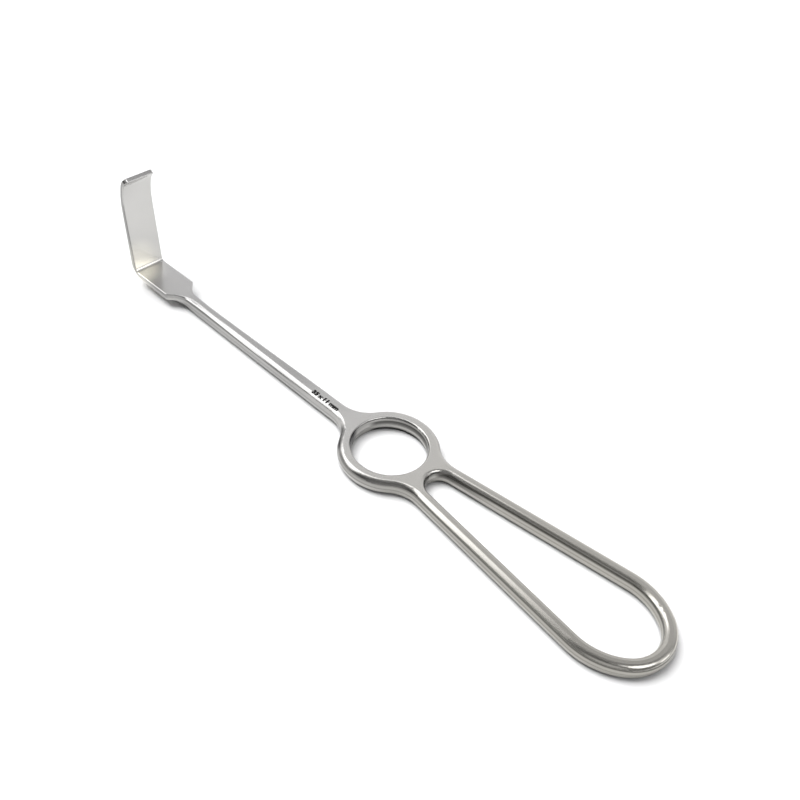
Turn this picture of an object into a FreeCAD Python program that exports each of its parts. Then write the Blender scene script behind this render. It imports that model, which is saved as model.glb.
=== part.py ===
import FreeCAD, Part
import math
import os

# Handheld retractor, one steel forging: open loop handle, finger ring, shank, plate and bent blade.
# Frame: +X runs from the blade to the handle's far end, +Y is across, +Z is up.
# Origin: middle of the tool's length and width, on the plane that it lies on. Millimetres and degrees.

# Whole tool
overall_length = 215.0
forging_thickness = 4.95
edge_draft = 0.45

# Handle loop, measured on the middle of its bar
handle_reach = 96.1
loop_bar_width = 4.2
loop_nose_radius = 12.1
loop_nose_half_angle = 51.0
loop_cheek_radius = 18.7
loop_arm_angle = 7.1
loop_waist_radius = 10.0

# Finger ring and the web between ring and loop
ring_outer_radius = 15.15
ring_hole_radius = 11.0
web_length = 4.8

# Shank
shank_root_width = 5.5
shank_neck_width = 3.7
shank_root_fillet = 10.0
shank_root_overhang = 8.0
shank_shoulder_run = 12.0
shank_rounding_run = 6.0

# Plate and blade; the depth runs from the plate's top face to the top of the tip
blade_width = 11.0
blade_depth = 35.0
blade_lean = 5.7
plate_length = 18.4
shoulder_thickness = 2.5
bend_thickness = 1.85
tip_thickness = 1.5
inner_bend_radius = 1.2
outer_bend_radius = 5.0
shoulder_slope = 45.0
shoulder_corner_radius = 1.3
shoulder_fillet = 7.5
heel_setback = 21.0

# Curl at the blade's tip: a slow bend, a quick bend and a short flat
curl_slow_radius = 25.0
curl_slow_angle = 20.0
curl_quick_radius = 5.3
curl_quick_angle = 26.0
curl_flat = 1.4
tip_corner_radius = 1.1

# Edge roundings
top_edge_rounding = 1.55
slot_edge_rounding = 1.3
hole_edge_rounding = 0.6
blade_edge_rounding = 0.3

middle = forging_thickness / 2.0


def unit(angle):
    """Direction in the plan at this angle from +X."""
    a = math.radians(angle)
    return FreeCAD.Vector(math.cos(a), math.sin(a), 0)


def mirrored(v):
    """The same point or direction on the other side of the tool's middle plane."""
    return FreeCAD.Vector(v.x, -v.y, v.z)


def arc_stations(centre, radius, first, last, sign):
    """Start, middle and end of an arc, each with the outline's outward direction; sign is -1 on a hollow."""
    angles = (first, (first + last) / 2.0, last)
    return [(centre + unit(a) * radius, unit(a) * sign) for a in angles]


def line_stations(start, end, outward):
    """Both ends of a straight run, with its outward direction."""
    return [(start, outward), (end, outward)]


def outline(half, inset, z, closed):
    """Closed wire at height z from a half outline and its mirror image, moved inwards by inset."""
    edges = []
    for side in (1, -1):
        for run in half:
            points = [p - n * inset for p, n in run]
            if side < 0:
                points = [mirrored(p) for p in reversed(points)]
            points = [FreeCAD.Vector(p.x, p.y, z) for p in points]
            if len(points) == 3:
                edges.append(Part.Arc(points[0], points[1], points[2]).toShape())
            else:
                edges.append(Part.LineSegment(points[0], points[1]).toShape())
        if side > 0 and not closed:
            last = half[-1][-1]
            end = last[0] - last[1] * inset
            low = FreeCAD.Vector(end.x, -end.y, z)
            high = FreeCAD.Vector(end.x, end.y, z)
            edges.append(Part.LineSegment(high, low).toShape())
        if side > 0:
            half = list(reversed(half))
    return Part.Wire(Part.__sortEdges__(edges))


def angle_of(v):
    """Plan angle of a direction, in degrees."""
    return math.degrees(math.atan2(v.y, v.x))


def rounded(points, radii):
    """Closed wire through the corners, each rounded by its own radius."""
    edges = []
    ends = []
    count = len(points)
    for i in range(count):
        corner = points[i]
        to_last = (points[i - 1] - corner).normalize()
        to_next = (points[(i + 1) % count] - corner).normalize()
        if radii[i] <= 0:
            ends.append((corner, None, corner))
            continue
        half = to_last.getAngle(to_next) / 2.0
        reach = radii[i] / math.tan(half)
        bisector = (to_last + to_next).normalize()
        centre = corner + bisector * (radii[i] / math.sin(half))
        ends.append((corner + to_last * reach, centre - bisector * radii[i], corner + to_next * reach))
    for i in range(count):
        start, mid, end = ends[i]
        if mid is not None:
            edges.append(Part.Arc(start, mid, end).toShape())
        following = ends[(i + 1) % count][0]
        if end.distanceToPoint(following) > 1e-6:
            edges.append(Part.LineSegment(end, following).toShape())
    return Part.Wire(edges)


# Stations along the tool
handle_end = overall_length / 2.0
ring_x = handle_end - handle_reach
ring_centre = FreeCAD.Vector(ring_x, 0, 0)
half_bar = loop_bar_width / 2.0

# The roundings share the top of the loop's bar and the height of its sides
bar_top = loop_bar_width - 2.0 * edge_draft
outer_rounding = min(top_edge_rounding, 0.53 * bar_top, 0.85 * middle)
slot_rounding = min(slot_edge_rounding, 0.44 * bar_top, 0.85 * middle)

# Loop arcs: the nose, then a cheek that is tangent to it and to the straight arm
nose_centre = FreeCAD.Vector(handle_end - half_bar - loop_nose_radius, 0, 0)
cheek_step = loop_nose_radius - loop_cheek_radius
cheek_centre = nose_centre + unit(loop_nose_half_angle) * cheek_step
arm_outward = unit(90.0 + loop_arm_angle)
arm_end = cheek_centre + arm_outward * loop_cheek_radius
arm_along = unit(180.0 + loop_arm_angle)


def touch_line_and_circle(point, outward, along, radius, circle_radius):
    """Centre of the hollow fillet that touches a straight run from outside and the ring's outer circle."""
    base = point + outward * radius - ring_centre
    reach = circle_radius + radius
    b = base.dot(along)
    gap = b * b - base.dot(base) + reach * reach
    return ring_centre + base + along * (-b - math.sqrt(gap))


# Outer outline, from the nose round to the root of the shank
outer_arm = arm_end + arm_outward * half_bar
waist_radius = loop_waist_radius
waist_centre = touch_line_and_circle(outer_arm, arm_outward, arm_along, waist_radius, ring_outer_radius)
waist_at_arm = waist_centre - arm_outward * waist_radius
waist_at_ring = angle_of(waist_centre - ring_centre)
shank_outward = FreeCAD.Vector(0, 1, 0)
shank_along = FreeCAD.Vector(1, 0, 0)
shank_side = FreeCAD.Vector(ring_x, shank_root_width / 2.0, 0)
root_fillet = shank_root_fillet
root_centre = touch_line_and_circle(shank_side, shank_outward, shank_along, root_fillet, ring_outer_radius)
root_at_ring = angle_of(root_centre - ring_centre)
root_x = root_centre.x - shank_root_overhang
root_end = FreeCAD.Vector(root_x, shank_root_width / 2.0, 0)

outer_half = [
    arc_stations(nose_centre, loop_nose_radius + half_bar, 0.0, loop_nose_half_angle, 1),
    arc_stations(cheek_centre, loop_cheek_radius + half_bar, loop_nose_half_angle, 90.0 + loop_arm_angle, 1),
    line_stations(outer_arm, waist_at_arm, arm_outward),
    arc_stations(waist_centre, waist_radius, loop_arm_angle - 90.0, waist_at_ring - 180.0, -1),
    arc_stations(ring_centre, ring_outer_radius, waist_at_ring, root_at_ring, 1),
    arc_stations(root_centre, root_fillet, root_at_ring - 180.0, -90.0, -1),
    line_stations(root_centre - shank_outward * root_fillet, root_end, shank_outward),
]

# Slot inside the loop: the same arcs less the bar, closed by a small round end against the web
inner_arm = arm_end - arm_outward * half_bar
slot_x = ring_x + ring_hole_radius + web_length
axis_gap = inner_arm.y - (inner_arm.x - slot_x) * math.tan(math.radians(loop_arm_angle))
arm_sine = math.sin(math.radians(loop_arm_angle))
arm_cosine = math.cos(math.radians(loop_arm_angle))
slot_end_radius = axis_gap * arm_cosine / (1.0 - arm_sine)
slot_centre = FreeCAD.Vector(slot_x + slot_end_radius, 0, 0)

slot_half = [
    arc_stations(nose_centre, loop_nose_radius - half_bar, 0.0, loop_nose_half_angle, 1),
    arc_stations(cheek_centre, loop_cheek_radius - half_bar, loop_nose_half_angle, 90.0 + loop_arm_angle, 1),
    line_stations(inner_arm, slot_centre + arm_outward * slot_end_radius, arm_outward),
    arc_stations(slot_centre, slot_end_radius, 90.0 + loop_arm_angle, 180.0, 1),
]


def drafted(half, closed, sign, over):
    """Solid between the two faces whose sides slope back from a ridge at mid-thickness."""
    reach = middle + over
    inset = edge_draft * reach / middle * sign
    low = outline(half, inset, middle - reach, closed)
    ridge = outline(half, 0.0, middle, closed)
    high = outline(half, inset, middle + reach, closed)
    return Part.makeLoft([low, ridge, high], True, True)


def on_face(edge):
    """True for an edge that lies in the top or the bottom face."""
    zs = [v.Z for v in edge.Vertexes]
    box = edge.BoundBox
    flat = box.ZMax - box.ZMin < 1e-4
    return flat and (abs(box.ZMin) < 1e-4 or abs(box.ZMin - forging_thickness) < 1e-4)


# Handle: loop, web and ring
handle = drafted(outer_half, False, 1, 0.0)
outer_edges = [e for e in handle.Edges if on_face(e) and e.BoundBox.XMax > root_x + 1e-3]
handle = handle.makeFillet(outer_rounding, outer_edges)
handle = handle.cut(drafted(slot_half, True, -1, 1.0))
over = middle + 1.0
hole_wide = ring_hole_radius + edge_draft * over / middle
up = FreeCAD.Vector(0, 0, 1)
hole_low = Part.makeCone(hole_wide, ring_hole_radius, over, ring_centre - up * 1.0, up)
hole_high = Part.makeCone(ring_hole_radius, hole_wide, over, ring_centre + up * middle, up)
handle = handle.cut(hole_low).cut(hole_high)


def inside_ring(edge):
    """True for an edge of the finger hole."""
    box = edge.BoundBox
    return box.XMin > ring_x - ring_outer_radius and box.XMax < slot_x - web_length / 4.0


def borders_hole(edge):
    """True for the finger hole's circle in the top or the bottom face."""
    if not on_face(edge) or not inside_ring(edge) or edge.Curve.TypeId != "Part::GeomCircle":
        return False
    return abs(edge.Curve.Radius - ring_hole_radius - edge_draft) < 1e-3


hole_edges = [e for e in handle.Edges if borders_hole(e)]
handle = handle.makeFillet(hole_edge_rounding, hole_edges)


def borders_slot(edge):
    """True for an edge of the slot in the top or the bottom face."""
    if not on_face(edge):
        return False
    mid = edge.valueAt((edge.FirstParameter + edge.LastParameter) / 2.0)
    if mid.x < slot_x - 2.0 * edge_draft:
        return False
    wire = outline(slot_half, -edge_draft, mid.z, True)
    return wire.distToShape(Part.Vertex(mid))[0] < 1e-3


slot_edges = [e for e in handle.Edges if borders_slot(e)]
handle = handle.makeFillet(slot_rounding, slot_edges)


# Side profile of plate and blade: stations along the outer face, from the underside of the plate to the tip
def heading(angle):
    """Direction in the side view, measured from +Z towards the handle."""
    a = math.radians(angle)
    return FreeCAD.Vector(math.sin(a), 0, math.cos(a))


def inward(angle):
    """Direction from the outer face to the inner face where the blade has this heading."""
    a = math.radians(angle)
    return FreeCAD.Vector(math.cos(a), 0, -math.sin(a))


slow_heading = curl_slow_angle - blade_lean
quick_heading = slow_heading + curl_quick_angle
slow_outer = curl_slow_radius + tip_thickness
quick_outer = curl_quick_radius + tip_thickness
slow_step = (inward(-blade_lean) - inward(slow_heading)) * slow_outer
quick_step = (inward(slow_heading) - inward(quick_heading)) * quick_outer
flat_step = heading(quick_heading) * curl_flat
curl_rise = (slow_step + quick_step + flat_step).z
straight = (blade_depth + bend_thickness - curl_rise) / math.cos(math.radians(blade_lean))
rear_bulge = slow_outer * (1.0 - math.cos(math.radians(blade_lean)))
base_x = -overall_length / 2.0 + straight * math.sin(math.radians(blade_lean)) + rear_bulge
bend_underside = forging_thickness - bend_thickness
shoulder_underside = forging_thickness - shoulder_thickness

outer_base = FreeCAD.Vector(base_x, 0, bend_underside)
outer_straight = outer_base + heading(-blade_lean) * straight
outer_slow = outer_straight + slow_step
outer_quick = outer_slow + quick_step
outer_tip = outer_quick + flat_step
inner_tip = outer_tip + inward(quick_heading) * tip_thickness
inner_quick = outer_quick + inward(quick_heading) * tip_thickness
inner_slow = outer_slow + inward(slow_heading) * tip_thickness
inner_straight = outer_straight + inward(-blade_lean) * tip_thickness
inner_base = outer_base + inward(-blade_lean) * bend_thickness
inner_along = (inner_base - inner_straight).normalize()
inner_corner = inner_straight + inner_along * ((forging_thickness - inner_straight.z) / inner_along.z)

# Plan of the plate: straight sides, sloped shoulders and hollow fillets that run into the shank
shoulder_x = base_x + plate_length
half_blade = blade_width / 2.0
half_neck = shank_neck_width / 2.0
shoulder_drop = half_blade - half_neck
shoulder_run = shoulder_drop / math.tan(math.radians(shoulder_slope))
hollow_x = shoulder_x + shoulder_run
hollow_end = hollow_x + shoulder_fillet * math.tan(math.radians(shoulder_slope / 2.0))
hollow_start = hollow_end - shoulder_fillet * math.sin(math.radians(shoulder_slope))
neck_x = 0.75 * hollow_start + 0.25 * hollow_end


def bend(start, corner, end, radius):
    """Start, middle and end of the arc that rounds this corner."""
    to_start = (start - corner).normalize()
    to_end = (end - corner).normalize()
    half = to_start.getAngle(to_end) / 2.0
    bisector = (to_start + to_end).normalize()
    middle_point = corner + bisector * (radius / math.sin(half) - radius)
    reach = radius / math.tan(half)
    return corner + to_start * reach, middle_point, corner + to_end * reach


def arc_about(start, centre, end):
    """Arc from start to end round a centre, by the short way."""
    radius = start.distanceToPoint(centre)
    through = centre + ((start + end) * 0.5 - centre).normalize() * radius
    return Part.Arc(start, through, end).toShape()


def straight_edge(start, end):
    """Straight edge between two points."""
    return Part.LineSegment(start, end).toShape()


slow_centre = outer_straight + inward(-blade_lean) * slow_outer
quick_centre = outer_slow + inward(slow_heading) * quick_outer
plate_end = FreeCAD.Vector(neck_x, 0, forging_thickness)
plate_foot = FreeCAD.Vector(neck_x, 0, shoulder_underside)
outer_bend = bend(plate_foot, outer_base, outer_straight, outer_bend_radius)
inner_bend = bend(inner_straight, inner_corner, plate_end, inner_bend_radius)
side_edges = [
    Part.Arc(outer_bend[0], outer_bend[1], outer_bend[2]).toShape(),
    straight_edge(outer_bend[2], outer_straight),
    arc_about(outer_straight, slow_centre, outer_slow),
    arc_about(outer_slow, quick_centre, outer_quick),
    straight_edge(outer_quick, outer_tip),
    straight_edge(outer_tip, inner_tip),
    straight_edge(inner_tip, inner_quick),
    arc_about(inner_quick, quick_centre, inner_slow),
    arc_about(inner_slow, slow_centre, inner_straight),
    straight_edge(inner_straight, inner_bend[0]),
    Part.Arc(inner_bend[0], inner_bend[1], inner_bend[2]).toShape(),
    straight_edge(inner_bend[2], plate_end),
    straight_edge(plate_end, plate_foot),
    straight_edge(plate_foot, outer_bend[0]),
]
side_wire = Part.Wire(side_edges)
side_wire.translate(FreeCAD.Vector(0, -blade_width, 0))
strip = Part.Face(side_wire).extrude(FreeCAD.Vector(0, 2.0 * blade_width, 0))

behind = -overall_length / 2.0 - outer_bend_radius
plan_corners = [
    (behind, half_blade, 0),
    (behind, -half_blade, 0),
    (shoulder_x, -half_blade, shoulder_corner_radius),
    (hollow_x, -half_neck, shoulder_fillet),
    (hollow_end + 1.0, -half_neck, 0),
    (hollow_end + 1.0, half_neck, 0),
    (hollow_x, half_neck, shoulder_fillet),
    (shoulder_x, half_blade, shoulder_corner_radius),
]
plan_points = [FreeCAD.Vector(x, y, -1.0) for x, y, radius in plan_corners]
plan_wire = rounded(plan_points, [radius for x, y, radius in plan_corners])
plan_prism = Part.Face(plan_wire).extrude(FreeCAD.Vector(0, 0, blade_depth + 2.0 * forging_thickness))
blade = strip.common(plan_prism)


def at_tip_corner(edge):
    """True for the two short edges at the sides of the tip's end face."""
    ends = [v.Point for v in edge.Vertexes]
    across = FreeCAD.Vector(0, 1, 0)
    if len(ends) != 2 or abs(ends[0].y - ends[1].y) > 1e-3:
        return False
    to_outer = min(p.distanceToLine(outer_tip, across) for p in ends)
    to_inner = min(p.distanceToLine(inner_tip, across) for p in ends)
    return to_outer < 1e-3 and to_inner < 1e-3


blade = blade.makeFillet(tip_corner_radius, [e for e in blade.Edges if at_tip_corner(e)])


def is_crisp(edge, solid):
    """True where two faces meet at an angle, and not on the end that joins the shank."""
    box = edge.BoundBox
    if box.XMin > neck_x - 1e-3:
        return False
    faces = solid.ancestorsOfType(edge, Part.Face)
    if len(faces) != 2:
        return False
    mid = edge.valueAt((edge.FirstParameter + edge.LastParameter) / 2.0)
    normals = []
    for face in faces:
        u, v = face.Surface.parameter(mid)
        normals.append(face.normalAt(u, v))
    return normals[0].getAngle(normals[1]) > math.radians(20.0)


blade = blade.makeFillet(blade_edge_rounding, [e for e in blade.Edges if is_crisp(e, blade)])


# Shank: sections from the root of the ring to the neck, where roundings and ridge die away
def corner_arc(corner, flat_reach, side_end):
    """Start, middle and end of an arc that leaves the flat level and meets the side at side_end."""
    inwards = -1.0 if corner.y > 0 else 1.0
    start = FreeCAD.Vector(corner.x, corner.y + inwards * flat_reach, corner.z)
    drop = start.z - side_end.z
    radius = start.distanceToPoint(side_end) ** 2 / (2.0 * drop)
    centre = FreeCAD.Vector(start.x, start.y, start.z - radius)
    chord_middle = (start + side_end) * 0.5
    through = centre + (chord_middle - centre).normalize() * abs(radius)
    return start, through, side_end


def shank_section(x, half_width, flat_reach, side_reach, draft):
    """Section of the shank at x: flat top and bottom, rounded corners, a ridge halfway up each side."""
    half_flat = half_width - draft
    lean = FreeCAD.Vector(0, draft, middle).normalize() * side_reach
    arcs = []
    for side, face in ((1, 1), (1, -1), (-1, -1), (-1, 1)):
        corner = FreeCAD.Vector(x, side * half_flat, middle + face * middle)
        side_end = corner + FreeCAD.Vector(0, side * lean.y, -face * lean.z)
        arc = corner_arc(corner, flat_reach, side_end)
        arcs.append(arc if side * face > 0 else tuple(reversed(arc)))
    ridges = [FreeCAD.Vector(x, side * half_width, middle) for side in (1, -1)]
    edges = [Part.Arc(*arc).toShape() for arc in arcs]
    edges.append(straight_edge(arcs[0][2], ridges[0]))
    edges.append(straight_edge(ridges[0], arcs[1][0]))
    edges.append(straight_edge(arcs[1][2], arcs[2][0]))
    edges.append(straight_edge(arcs[2][2], ridges[1]))
    edges.append(straight_edge(ridges[1], arcs[3][0]))
    edges.append(straight_edge(arcs[3][2], arcs[0][0]))
    return Part.Wire(Part.__sortEdges__(edges))


def eased(t):
    """Smooth step from 0 to 1."""
    t = min(max(t, 0.0), 1.0)
    return t * t * (3.0 - 2.0 * t)


# Where the handle's rounding leaves the top and where it meets the side
handle_reach_round = outer_rounding / math.tan(math.radians(45.0) + math.atan2(edge_draft, middle) / 2.0)
shank_length = root_x - neck_x


def shank_at(place):
    """Section of the shank this far from the neck."""
    x = neck_x + place
    beside = max(hollow_end - x, 0.0)
    hollow = shoulder_fillet - math.sqrt(shoulder_fillet ** 2 - beside ** 2)
    widening = (shank_root_width - shank_neck_width) / 2.0 * max(x - hollow_end, 0.0) / (root_x - hollow_end)
    half_width = half_neck + hollow + widening
    grown = eased(place / shank_rounding_run)
    draft = edge_draft * eased(place / shank_shoulder_run)
    flat_reach = blade_edge_rounding + (handle_reach_round - blade_edge_rounding) * grown
    flat_reach = min(flat_reach, 0.9 * (half_width - draft))
    side_reach = blade_edge_rounding + (handle_reach_round - blade_edge_rounding) * place / shank_length
    return shank_section(x, half_width, flat_reach, side_reach, draft)


neck_part = Part.makeLoft([shank_at(shank_shoulder_run * g / 8.0) for g in range(9)], True, False)
long_part = Part.makeLoft([shank_at(shank_shoulder_run), shank_at(shank_length)], True, True)
shank = neck_part.fuse(long_part)

# Heel: under the neck the shank rounds up to the underside of the plate
heel_x = neck_x + heel_setback
heel_arc_radius = (heel_setback ** 2 + shoulder_underside ** 2) / (2.0 * shoulder_underside)
heel_centre = FreeCAD.Vector(heel_x, 0, heel_arc_radius)
heel_top = FreeCAD.Vector(neck_x, 0, shoulder_underside)
heel_toe = FreeCAD.Vector(heel_x, 0, 0)
below_toe = FreeCAD.Vector(heel_x, 0, -1.0)
below_plate = FreeCAD.Vector(neck_x - 1.0, 0, -1.0)
beside_plate = FreeCAD.Vector(neck_x - 1.0, 0, shoulder_underside)
heel_edges = [
    arc_about(heel_top, heel_centre, heel_toe),
    straight_edge(heel_toe, below_toe),
    straight_edge(below_toe, below_plate),
    straight_edge(below_plate, beside_plate),
    straight_edge(beside_plate, heel_top),
]
heel_wire = Part.Wire(heel_edges)
heel_wire.translate(FreeCAD.Vector(0, -blade_width, 0))
heel = Part.Face(heel_wire).extrude(FreeCAD.Vector(0, 2.0 * blade_width, 0))
shank = shank.cut(heel)

retractor = handle.fuse([shank, blade]).removeSplitter()

os.makedirs("parts", exist_ok=True)
shape = retractor
shape.exportStep("parts/retractor.step")
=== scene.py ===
import math
from collections import namedtuple

import bmesh
import bpy
import numpy as np
from mathutils import Matrix, Vector


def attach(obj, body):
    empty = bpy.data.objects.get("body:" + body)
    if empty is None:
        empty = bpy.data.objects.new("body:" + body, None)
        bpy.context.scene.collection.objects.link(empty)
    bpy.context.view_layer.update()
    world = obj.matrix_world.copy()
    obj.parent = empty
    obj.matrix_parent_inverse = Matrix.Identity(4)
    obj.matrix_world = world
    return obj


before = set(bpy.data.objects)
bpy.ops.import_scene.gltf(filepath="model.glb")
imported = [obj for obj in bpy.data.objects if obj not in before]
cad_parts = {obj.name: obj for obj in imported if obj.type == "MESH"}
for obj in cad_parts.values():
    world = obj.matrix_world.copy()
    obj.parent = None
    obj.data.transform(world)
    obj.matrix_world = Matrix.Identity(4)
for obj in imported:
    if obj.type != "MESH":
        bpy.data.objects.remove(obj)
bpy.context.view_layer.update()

MM = 0.001
scene = bpy.context.scene
scene.view_settings.view_transform = "Standard"

# Camera, turned, tilted and rolled as the photograph was taken: degrees, metres and pixels of 800
VIEW_AZIMUTH = 39.17
VIEW_ELEVATION = 42.95
VIEW_ROLL = 6.49
VIEW_DISTANCE = 307.7 * MM
VIEW_TARGET = Vector((-3.15 * MM, 20.19 * MM, 0.0))
FOCAL_PIXELS = 991.1
PICTURE_PIXELS = 800.0
SENSOR_WIDTH = 36.0

# Size marking on the shank: lower left corner and length of the lettering
MARK_WORDS = "35 x 11 mm"
MARK_START = (-20.2 * MM, -1.72 * MM)
MARK_LENGTH = 11.2 * MM
LETTER_SIZE = 2.0 * MM
STROKE_SWELL = 0.14 * MM
LETTER_SPACING = 1.04
WORD_SPACING = 0.6
ABOVE_STEEL = 0.022 * MM
DROP_HEIGHT = 8.0 * MM

# Steel: colour of each part as polished
COOL_STEEL = (0.513, 0.507, 0.493, 1.0)
WARM_STEEL = (0.506, 0.490, 0.446, 1.0)
STRAW_STEEL = (0.650, 0.636, 0.582, 1.0)

# Steel: painted shade and painted dark reflections, the share by which each part is drawn darker; the shank's
# and the plate's are parts of the flank's
UPPER_FLANK = 0.30
MORE_BY_RING = 0.12
PART_ON_SHANK = 0.34
PART_ADDED_AT_PLATE = 0.70
TOP_OF_FLANK = 0.47
LOWER_FLANK = 0.10
UNDERSIDE_EDGE = 0.72
PARTING_LINE_SHADE = 0.18
HOLE_RIM = 0.42
HOLE_FOOT = 0.80
FLANK_FOOT = 0.30
HOLLOW_AT_RING = 0.50
DARKER_TIP = 0.12

# Steel: how much brighter or darker each part is drawn, with a painted reflection brightening the plate and
# blade by the bend, and how the finish breaks up the gloss
CLOUD_SIZE = 17.0 * MM
CLOUD_DARKEST = 0.965
CLOUD_BRIGHTEST = 1.025
BRIGHTER_AT_RING = 0.12
DARKER_ON_SHANK = 0.15
BRIGHTER_ON_PLATE = 0.42
BRIGHTER_ON_BLADE = 0.10
LINE_WIDTH = 0.16 * MM
LINE_STRETCH = 14.0
TUMBLED_SIZE = 0.22 * MM
LEAST_ROUGHNESS = 0.20
MOST_ROUGHNESS = 0.25
RELIEF_STRENGTH = 0.05
RELIEF_HEIGHT = 0.005 * MM

# Steel: places along the tool, across it and above the rest
PARTING_HEIGHT = 2.475 * MM
RING_MIDDLE = 11.4 * MM
RING_FLANK_MIDDLE = 14.0 * MM
SHANK_MIDDLE = -52.0 * MM
SHANK_ROOT = -14.0 * MM
STRAW_MIDDLE = (-104.0 * MM, -5.0 * MM, 6.0 * MM)
HOLLOW_MIDDLE = (-0.5 * MM, -7.5 * MM, 4.6 * MM)


def toward(azimuth, elevation):
    """Direction at this turn from +X and this height above level, both in degrees."""
    a = math.radians(azimuth)
    e = math.radians(elevation)
    return (math.cos(a) * math.cos(e), math.sin(a) * math.cos(e), math.sin(e))


# Round panels: centre, angle within which they are whole, angle past which they end, strength
PANELS = (
    (toward(5.0, 56.0), 13.0, 19.0, 3.0),
    (toward(38.0, 46.0), 7.0, 15.0, 0.5),
    (toward(32.0, 24.0), 8.0, 15.0, 2.0),
    (toward(-63.0, 22.0), 10.0, 32.0, 0.42),
)
SIDE_PANEL_STRENGTH = 2.4
LIGHT_COLOUR = (0.978, 0.978, 1.0, 1.0)

# Lamps for the floor: name, azimuth, elevation, spread in degrees, strength
FLOOR_LIGHTS = (
    ("left_light", 190.0, 60.0, 48.0, 3.45),
    ("upper_light", 0.0, 65.0, 110.0, 1.35),
)


def aim_camera():
    """Camera on the ray that leaves the target at this azimuth and elevation, looking back and rolled."""
    turn = math.radians(VIEW_ROLL)
    back = Vector(toward(VIEW_AZIMUTH - 90.0, VIEW_ELEVATION))
    right = (-back).cross(Vector((0.0, 0.0, 1.0))).normalized()
    up = back.cross(right)
    rolled_right = right * math.cos(turn) + up * math.sin(turn)
    rolled_up = up * math.cos(turn) - right * math.sin(turn)
    data = bpy.data.cameras.new("studio_camera")
    data.sensor_width = SENSOR_WIDTH
    data.lens = SENSOR_WIDTH * FOCAL_PIXELS / PICTURE_PIXELS
    data.clip_start = 0.01
    camera = bpy.data.objects.new("studio_camera", data)
    turn_matrix = Matrix((rolled_right, rolled_up, back)).transposed().to_4x4()
    camera.matrix_world = Matrix.Translation(VIEW_TARGET + back * VIEW_DISTANCE) @ turn_matrix
    scene.collection.objects.link(camera)
    scene.camera = camera


# Pieces
def new_object(name, data):
    """Object of this name at the origin, in the scene."""
    piece = bpy.data.objects.new(name, data)
    scene.collection.objects.link(piece)
    return piece


def studio_floor(half_side, cells):
    """Level sheet z = 0: both coordinates run evenly from minus to plus half_side."""
    steps = np.linspace(-half_side, half_side, cells + 1)
    across, along = np.meshgrid(steps, steps)
    points = np.stack([across, along, np.zeros_like(across)], -1)
    corner = np.arange(cells)[:, None] * (cells + 1) + np.arange(cells)
    faces = np.stack([corner, corner + 1, corner + cells + 2, corner + cells + 1], -1)
    data = bpy.data.meshes.new("studio_floor")
    data.from_pydata(points.reshape(-1, 3).tolist(), [], faces.reshape(-1, 4).tolist())
    data.update()
    return new_object("studio_floor", data)


def finished_mesh(piece):
    """Mesh of a piece with its curves and modifiers applied; the piece itself is taken away."""
    bpy.context.view_layer.update()
    data = bpy.data.meshes.new_from_object(piece.evaluated_get(bpy.context.evaluated_depsgraph_get()))
    bpy.data.objects.remove(piece)
    return data


def flat_lettering():
    """Flat mesh of the marking's words, cut into small triangles."""
    curve = bpy.data.curves.new("mark_outline", "FONT")
    curve.body = MARK_WORDS
    curve.size = LETTER_SIZE
    curve.offset = STROKE_SWELL
    curve.space_character = LETTER_SPACING
    curve.space_word = WORD_SPACING
    curve.resolution_u = 4
    flat = finished_mesh(new_object("mark_outline", curve))
    work = bmesh.new()
    work.from_mesh(flat)
    bmesh.ops.remove_doubles(work, verts=work.verts, dist=1e-7)
    bmesh.ops.triangulate(work, faces=work.faces)
    bmesh.ops.subdivide_edges(work, edges=work.edges, cuts=3, use_grid_fill=True)
    bmesh.ops.triangulate(work, faces=work.faces)
    work.to_mesh(flat)
    work.free()
    return flat


def size_mark(carrier):
    """Blade size in millimetres, marked along the shank: flat lettering laid down on the steel below it.

    Each point is moved to the mark's corner, its distance along the shank is scaled so that the words have
    their length, and it then falls straight down until it lies just off the steel.
    """
    flat = flat_lettering()
    points = np.empty(len(flat.vertices) * 3)
    flat.vertices.foreach_get("co", points)
    points = points.reshape(-1, 3)
    points[:, :2] -= points[:, :2].min(0)
    points[:, 0] *= MARK_LENGTH / points[:, 0].max()
    points += (*MARK_START, DROP_HEIGHT)
    flat.vertices.foreach_set("co", points.ravel())
    loose = new_object("loose_mark", flat)
    lay = loose.modifiers.new("lay", "SHRINKWRAP")
    lay.target = carrier
    lay.wrap_method = "PROJECT"
    lay.use_project_z = True
    lay.use_positive_direction = False
    lay.use_negative_direction = True
    lay.offset = ABOVE_STEEL
    laid = finished_mesh(loose)
    laid.name = "size_mark"
    return new_object("size_mark", laid)


# Nodes
Parts = namedtuple("Parts", "x y z")


def add(tree, kind, **settings):
    """New node; names ending in a number set that input, others set a property."""
    node = tree.nodes.new(kind)
    for name, value in settings.items():
        if name.startswith("in_"):
            node.inputs[int(name[3:])].default_value = value
        else:
            setattr(node, name, value)
    return node


def link(tree, source, target):
    """Joins an output to an input; a node alone stands for its first one."""
    a = source if isinstance(source, bpy.types.NodeSocket) else source.outputs[0]
    b = target if isinstance(target, bpy.types.NodeSocket) else target.inputs[0]
    tree.links.new(a, b)


def shader(name):
    """New material with a Principled shader joined to its output; gives material, tree and shader."""
    material = bpy.data.materials.new(name)
    material.use_nodes = True
    tree = material.node_tree
    tree.nodes.clear()
    out = add(tree, "ShaderNodeOutputMaterial")
    surface = add(tree, "ShaderNodeBsdfPrincipled")
    link(tree, surface, out)
    return material, tree, surface


def joined(tree, operation, first, *others):
    """Maths on values in turn; each is a number or an output."""
    total = first
    for other in others:
        node = add(tree, "ShaderNodeMath", operation=operation)
        for place, value in enumerate((total, other)):
            if isinstance(value, (int, float)):
                node.inputs[place].default_value = value
            else:
                link(tree, value, node.inputs[place])
        total = node.outputs[0]
    return total


def plus(tree, *values):
    """Sum of the values."""
    return joined(tree, "ADD", *values)


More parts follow.
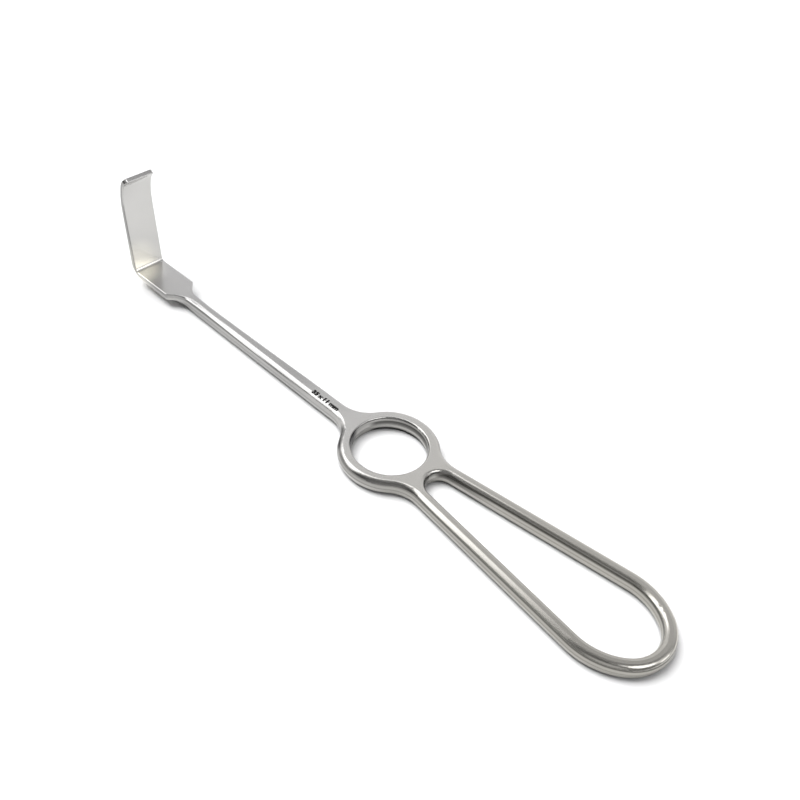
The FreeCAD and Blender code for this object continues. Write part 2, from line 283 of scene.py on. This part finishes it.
def minus(tree, first, second):
    """First value less the second."""
    return joined(tree, "SUBTRACT", first, second)


def times(tree, *values):
    """Product of the values."""
    return joined(tree, "MULTIPLY", *values)


def away(tree, value, middle):
    """Distance of a value from a middle, either way."""
    return joined(tree, "ABSOLUTE", minus(tree, value, middle), 0.0)


def ramp(tree, value, low, high, at_low, at_high, smooth=True):
    """Value carried from one range to another, eased at both ends."""
    node = add(tree, "ShaderNodeMapRange", in_1=low, in_2=high, in_3=at_low, in_4=at_high)
    node.interpolation_type = "SMOOTHSTEP" if smooth else "LINEAR"
    link(tree, value, node)
    return node.outputs[0]


def rises(tree, value, low, high, most=1.0):
    """Nothing as far as low, then eased up to the most at high."""
    return ramp(tree, value, low, high, 0.0, most)


def fades(tree, value, low, high, most=1.0):
    """The most as far as low, then eased down to nothing at high."""
    return ramp(tree, value, low, high, most, 0.0)


def rest_of(tree, share):
    """What a share leaves of the whole."""
    return minus(tree, 1.0, share)


def split(tree, vector):
    """The three parts of a vector."""
    node = add(tree, "ShaderNodeSeparateXYZ")
    link(tree, vector, node)
    return Parts(*node.outputs)


def along_direction(tree, vector, direction):
    """Part of a vector that lies along this direction."""
    node = add(tree, "ShaderNodeVectorMath", operation="DOT_PRODUCT", in_1=direction)
    link(tree, vector, node)
    return node.outputs["Value"]


def distance_from(tree, place, point):
    """Distance from a point, in metres."""
    node = add(tree, "ShaderNodeVectorMath", operation="DISTANCE", in_1=point)
    link(tree, place, node)
    return node.outputs["Value"]


def object_place(tree):
    """Place on the object itself."""
    return add(tree, "ShaderNodeTexCoord").outputs["Object"]


def grain(tree, place, size, detail, stretch=(1.0, 1.0, 1.0), shift=0.0):
    """Noise with features of about this size, longer where stretch is above one."""
    mapping = add(tree, "ShaderNodeMapping")
    mapping.inputs["Location"].default_value = (shift, shift * 0.7, shift * 1.3)
    mapping.inputs["Scale"].default_value = tuple(1.0 / s for s in stretch)
    link(tree, place, mapping)
    noise = add(tree, "ShaderNodeTexNoise")
    noise.inputs["Scale"].default_value = 1.0 / size
    noise.inputs["Detail"].default_value = detail
    noise.inputs["Roughness"].default_value = 0.55
    link(tree, mapping, noise)
    return noise.outputs[0]


def blended_colour(tree, share, first, second):
    """Colour between two others; each is a colour or an output."""
    node = add(tree, "ShaderNodeMix", data_type="RGBA")
    link(tree, share, node.inputs[0])
    for place, colour in ((6, first), (7, second)):
        if isinstance(colour, tuple):
            node.inputs[place].default_value = colour
        else:
            link(tree, colour, node.inputs[place])
    return node.outputs[2]


def blended_value(tree, share, first, second):
    """Value between two others; each is a number or an output."""
    node = add(tree, "ShaderNodeMix", data_type="FLOAT")
    link(tree, share, node.inputs[0])
    for place, value in ((2, first), (3, second)):
        if isinstance(value, float):
            node.inputs[place].default_value = value
        else:
            link(tree, value, node.inputs[place])
    return node.outputs[0]


# Materials
def flank_painted_shade(tree, at, facing):
    """Painted shade and painted dark reflections on the drafted flanks, most under their top edge, and on the
    underside's edge.

    It is less towards the plate, more by the ring, and none on the broad faces of the blade.
    """
    by_ring = fades(tree, away(tree, at.x, RING_FLANK_MIDDLE), 12.0 * MM, 24.0 * MM)
    at_plate = fades(tree, at.x, -88.0 * MM, -84.0 * MM)

    # Where a face counts as an upper flank: steep, and less steep by the ring
    rise = minus(tree, facing.z, times(tree, by_ring, 0.30))
    steep = fades(tree, rise, 0.35, 0.62)
    lower = fades(tree, facing.z, -0.05, 0.05)
    upper = times(tree, steep, rest_of(tree, lower))

    # How much painted shade there is there
    past_root = ramp(tree, at.x, -45.0 * MM, 0.0, PART_ON_SHANK, 1.0)
    reach = plus(tree, past_root, times(tree, at_plate, PART_ADDED_AT_PLATE))
    evenly = plus(tree, UPPER_FLANK, times(tree, by_ring, MORE_BY_RING))
    near_top = rises(tree, at.z, 3.4 * MM, 3.8 * MM, TOP_OF_FLANK)
    off_root = rises(tree, away(tree, at.x, SHANK_ROOT), 8.0 * MM, 22.0 * MM)
    off_ring = rest_of(tree, times(tree, by_ring, 0.5))
    shade = plus(tree, times(tree, reach, evenly), times(tree, near_top, off_root, off_ring))

    under = fades(tree, facing.z, -0.50, -0.22, UNDERSIDE_EDGE)
    painted_shade = plus(tree, times(tree, upper, shade), times(tree, lower, LOWER_FLANK), under)
    face_of_blade = times(tree, at_plate, rest_of(tree, away(tree, facing.y, 0.0)))
    painted_shade = times(tree, painted_shade, rest_of(tree, face_of_blade))

    # Painted dark line at the parting line, half-way up the handle's and the shank's flanks
    line = fades(tree, away(tree, at.z, PARTING_HEIGHT), 0.10 * MM, 0.50 * MM, PARTING_LINE_SHADE)
    return plus(tree, painted_shade, times(tree, line, rest_of(tree, at_plate)))


def hole_painted_shading(tree, at, facing):
    """Painted shade on the far walls of the finger hole and the loop's narrow end: on the upper rim, with a
    painted highlight at its top edge, and a painted shadow at the foot.
    """
    far = rises(tree, at.y, 1.5 * MM, 3.5 * MM)
    begins = rises(tree, at.x, -6.0 * MM, -3.0 * MM)
    ends = fades(tree, at.x, 34.0 * MM, 48.0 * MM)
    inward = fades(tree, facing.y, -0.45, -0.15)
    wall = times(tree, far, begins, ends, inward)
    rim = rises(tree, at.z, 2.5 * MM, 3.1 * MM, HOLE_RIM)
    brighter_edge = ramp(tree, at.z, 3.5 * MM, 4.1 * MM, 1.0, -0.2)
    foot = fades(tree, at.z, 0.9 * MM, 1.7 * MM, HOLE_FOOT)
    return times(tree, wall, plus(tree, times(tree, rim, brighter_edge), foot))


def small_painted_shade(tree, place, at, facing):
    """Painted shadow at the flanks' foot and painted shade in the hollow where shank and ring meet; the tip
    is drawn darker.
    """
    foot = fades(tree, at.z, 0.30 * MM, 0.90 * MM, FLANK_FOOT)
    off_shank = rises(tree, at.x, -20.0 * MM, 0.0)
    close = fades(tree, distance_from(tree, place, HOLLOW_MIDDLE), 3.0 * MM, 6.0 * MM, HOLLOW_AT_RING)
    rounded = fades(tree, facing.z, 0.95, 0.995)
    tip = rises(tree, at.z, 37.6 * MM, 38.8 * MM, DARKER_TIP)
    return plus(tree, times(tree, foot, off_shank), times(tree, close, rounded), tip)


def tone_and_painted_sheen(tree, place, at, by_bend):
    """Brightness: faint clouds, brighter at the ring, darker on the shank, and a painted reflection that
    brightens the plate and blade by the bend.
    """
    clouds = grain(tree, place, CLOUD_SIZE, 2.0, shift=1.7)
    even = ramp(tree, clouds, 0.30, 0.70, CLOUD_DARKEST, CLOUD_BRIGHTEST)
    at_ring = fades(tree, away(tree, at.x, RING_MIDDLE), 14.0 * MM, 24.0 * MM, BRIGHTER_AT_RING)
    on_shank = fades(tree, away(tree, at.x, SHANK_MIDDLE), 22.0 * MM, 36.0 * MM, DARKER_ON_SHANK)
    even = minus(tree, plus(tree, even, at_ring), on_shank)
    # Painted reflection: the plate, and less so the blade, drawn brighter by the bend
    on_plate = ramp(tree, at.z, 5.2 * MM, 6.2 * MM, BRIGHTER_ON_PLATE, BRIGHTER_ON_BLADE)
    return times(tree, even, plus(tree, 1.0, times(tree, by_bend, on_plate)))


def satin_steel():
    """Stainless steel, belt-finished along the tool and up the blade, then tumbled to a soft satin.

    It is cool at the blade, warmer towards the loop, with a straw tint by the bend on the near side, where a
    painted reflection also brightens the plate and the blade. Painted shade and painted dark reflections
    darken the drafted flanks, the walls of the holes, their feet and the hollow by the ring.
    """
    material, tree, surface = shader("satin_steel")
    place = object_place(tree)
    at = split(tree, place)
    facing = split(tree, add(tree, "ShaderNodeNewGeometry").outputs["Normal"])

    # Colour
    down_handle = rises(tree, at.x, -30.0 * MM, 70.0 * MM)
    tone = blended_colour(tree, down_handle, COOL_STEEL, WARM_STEEL)
    by_bend = fades(tree, distance_from(tree, place, STRAW_MIDDLE), 4.0 * MM, 12.0 * MM)
    tone = blended_colour(tree, by_bend, tone, STRAW_STEEL)
    # Painted shade and painted dark reflections, taken off the steel's colour
    painted_shade = plus(
        tree,
        flank_painted_shade(tree, at, facing),
        hole_painted_shading(tree, at, facing),
        small_painted_shade(tree, place, at, facing),
    )
    bright = times(tree, rest_of(tree, painted_shade), tone_and_painted_sheen(tree, place, at, by_bend))
    colour = add(tree, "ShaderNodeVectorMath", operation="SCALE")
    link(tree, tone, colour)
    link(tree, bright, colour.inputs[3])
    link(tree, colour, surface.inputs["Base Color"])

    # Finishing lines, along the handle and shank and up the blade; they break the gloss a little
    along = grain(tree, place, LINE_WIDTH, 3.0, stretch=(LINE_STRETCH, 1.0, 1.0))
    upward = grain(tree, place, LINE_WIDTH, 3.0, stretch=(1.0, 1.0, LINE_STRETCH), shift=0.3)
    on_blade = rises(tree, at.z, 6.0 * MM, 9.0 * MM)
    lines = blended_value(tree, on_blade, along, upward)
    roughness = ramp(tree, lines, 0.30, 0.70, LEAST_ROUGHNESS, MOST_ROUGHNESS)
    link(tree, roughness, surface.inputs["Roughness"])

    # Relief of the lines, and of the tumbling over them
    relief = None
    for height in (lines, grain(tree, place, TUMBLED_SIZE, 4.0)):
        bump = add(tree, "ShaderNodeBump")
        bump.inputs["Strength"].default_value = RELIEF_STRENGTH
        bump.inputs["Distance"].default_value = RELIEF_HEIGHT
        link(tree, height, bump.inputs["Height"])
        if relief:
            link(tree, relief, bump.inputs["Normal"])
        relief = bump
    link(tree, relief, surface.inputs["Normal"])
    surface.inputs["Metallic"].default_value = 1.0
    return material


def marking_black():
    """Dull black of a laser-annealed mark, with a fine speckle."""
    material, tree, surface = shader("marking_black")
    speckle = grain(tree, object_place(tree), 0.12 * MM, 2.0)
    black = blended_colour(tree, speckle, (0.004, 0.004, 0.004, 1.0), (0.014, 0.0135, 0.013, 1.0))
    link(tree, black, surface.inputs["Base Color"])
    surface.inputs["Roughness"].default_value = 0.75
    surface.inputs["Specular IOR Level"].default_value = 0.08
    return material


def white_paper():
    """White matt studio paper with a faint tooth."""
    material, tree, surface = shader("white_paper")
    tooth = grain(tree, object_place(tree), 0.4 * MM, 2.0)
    white = blended_colour(tree, tooth, (0.92, 0.92, 0.93, 1.0), (0.95, 0.95, 0.95, 1.0))
    link(tree, white, surface.inputs["Base Color"])
    surface.inputs["Roughness"].default_value = 0.9
    surface.inputs["Specular IOR Level"].default_value = 0.0
    return material


# Light
def soft_panel(tree, direction, centre, full, edge, strength):
    """Round soft light in the dome: whole within one angle of its centre, gone past another."""
    low = math.cos(math.radians(edge))
    high = math.cos(math.radians(full))
    return rises(tree, along_direction(tree, direction, centre), low, high, strength)


def side_panel(tree, parts):
    """Long soft light on the left, between two slants and over an arc about the X axis from near to back.

    The nearer the panel comes to the middle, the later its arc begins and ends.
    """
    inner = fades(tree, parts.x, -0.40, -0.22)
    outer = ramp(tree, parts.x, -0.84, -0.70, 0.12, 1.0)
    turn = joined(tree, "ARCTAN2", parts.y, parts.z)
    later = ramp(tree, parts.x, -0.53, -0.30, 0.0, math.radians(90.0), smooth=False)
    from_start = minus(tree, turn, later)
    begins = rises(tree, from_start, math.radians(-81.0), math.radians(-69.0))
    further = rises(tree, parts.x, -0.52, -0.36, math.radians(10.0))
    to_end = minus(tree, turn, further)
    ends = fades(tree, to_end, math.radians(14.0), math.radians(22.0))
    return times(tree, inner, outer, begins, ends, SIDE_PANEL_STRENGTH)


def dome(tree, direction, parts):
    """Pale horizon behind the tool, dimmer above it and on the camera's side."""
    near = along_direction(tree, direction, toward(VIEW_AZIMUTH - 90.0, 0.0))
    behind = ramp(tree, near, -0.80, -0.05, 0.95, 0.38)
    higher = ramp(tree, parts.z, 0.70, 0.80, 1.0, 0.72)
    before = rises(tree, near, -0.05, 0.45, 0.12)
    glow = minus(tree, times(tree, behind, higher), before)
    low = fades(tree, parts.z, 0.03, 0.12)
    back = fades(tree, near, -0.05, 0.25)
    return plus(tree, glow, times(tree, low, back, rest_of(tree, glow)))


def studio_world():
    """What the steel reflects: a dome, a long panel on the left and the round ones in PANELS.

    It depends on direction only. The camera sees plain white in its place, and it lights no matt surface.
    """
    world = bpy.data.worlds.new("studio")
    scene.world = world
    world.use_nodes = True
    tree = world.node_tree
    tree.nodes.clear()
    out = add(tree, "ShaderNodeOutputWorld")
    glow = add(tree, "ShaderNodeBackground", in_0=LIGHT_COLOUR)
    link(tree, glow, out)
    direction = add(tree, "ShaderNodeTexCoord").outputs["Generated"]
    parts = split(tree, direction)
    panels = [soft_panel(tree, direction, *panel) for panel in PANELS]
    reflected = plus(tree, dome(tree, direction, parts), side_panel(tree, parts), *panels)
    by_camera = add(tree, "ShaderNodeLightPath").outputs["Is Camera Ray"]
    link(tree, blended_value(tree, by_camera, reflected, 1.0), glow.inputs[1])
    world.cycles_visibility.diffuse = False


def floor_light(name, azimuth, elevation, spread, energy):
    """Soft far light on the floor from this direction; it isn't seen in the steel."""
    lamp = bpy.data.lights.new(name, "SUN")
    lamp.energy = energy
    lamp.angle = math.radians(spread)
    held = new_object(name, lamp)
    held.rotation_euler = Vector(toward(azimuth, elevation)).to_track_quat("Z", "Y").to_euler()
    held.visible_glossy = False


aim_camera()
floor = studio_floor(3.0, 12)
floor.data.materials.append(white_paper())
studio_world()
for settings in FLOOR_LIGHTS:
    floor_light(*settings)

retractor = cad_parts["retractor"]
steel = satin_steel()
for slot in retractor.material_slots:
    slot.material = steel

mark = size_mark(retractor)
mark.data.materials.append(marking_black())
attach(mark, "root")
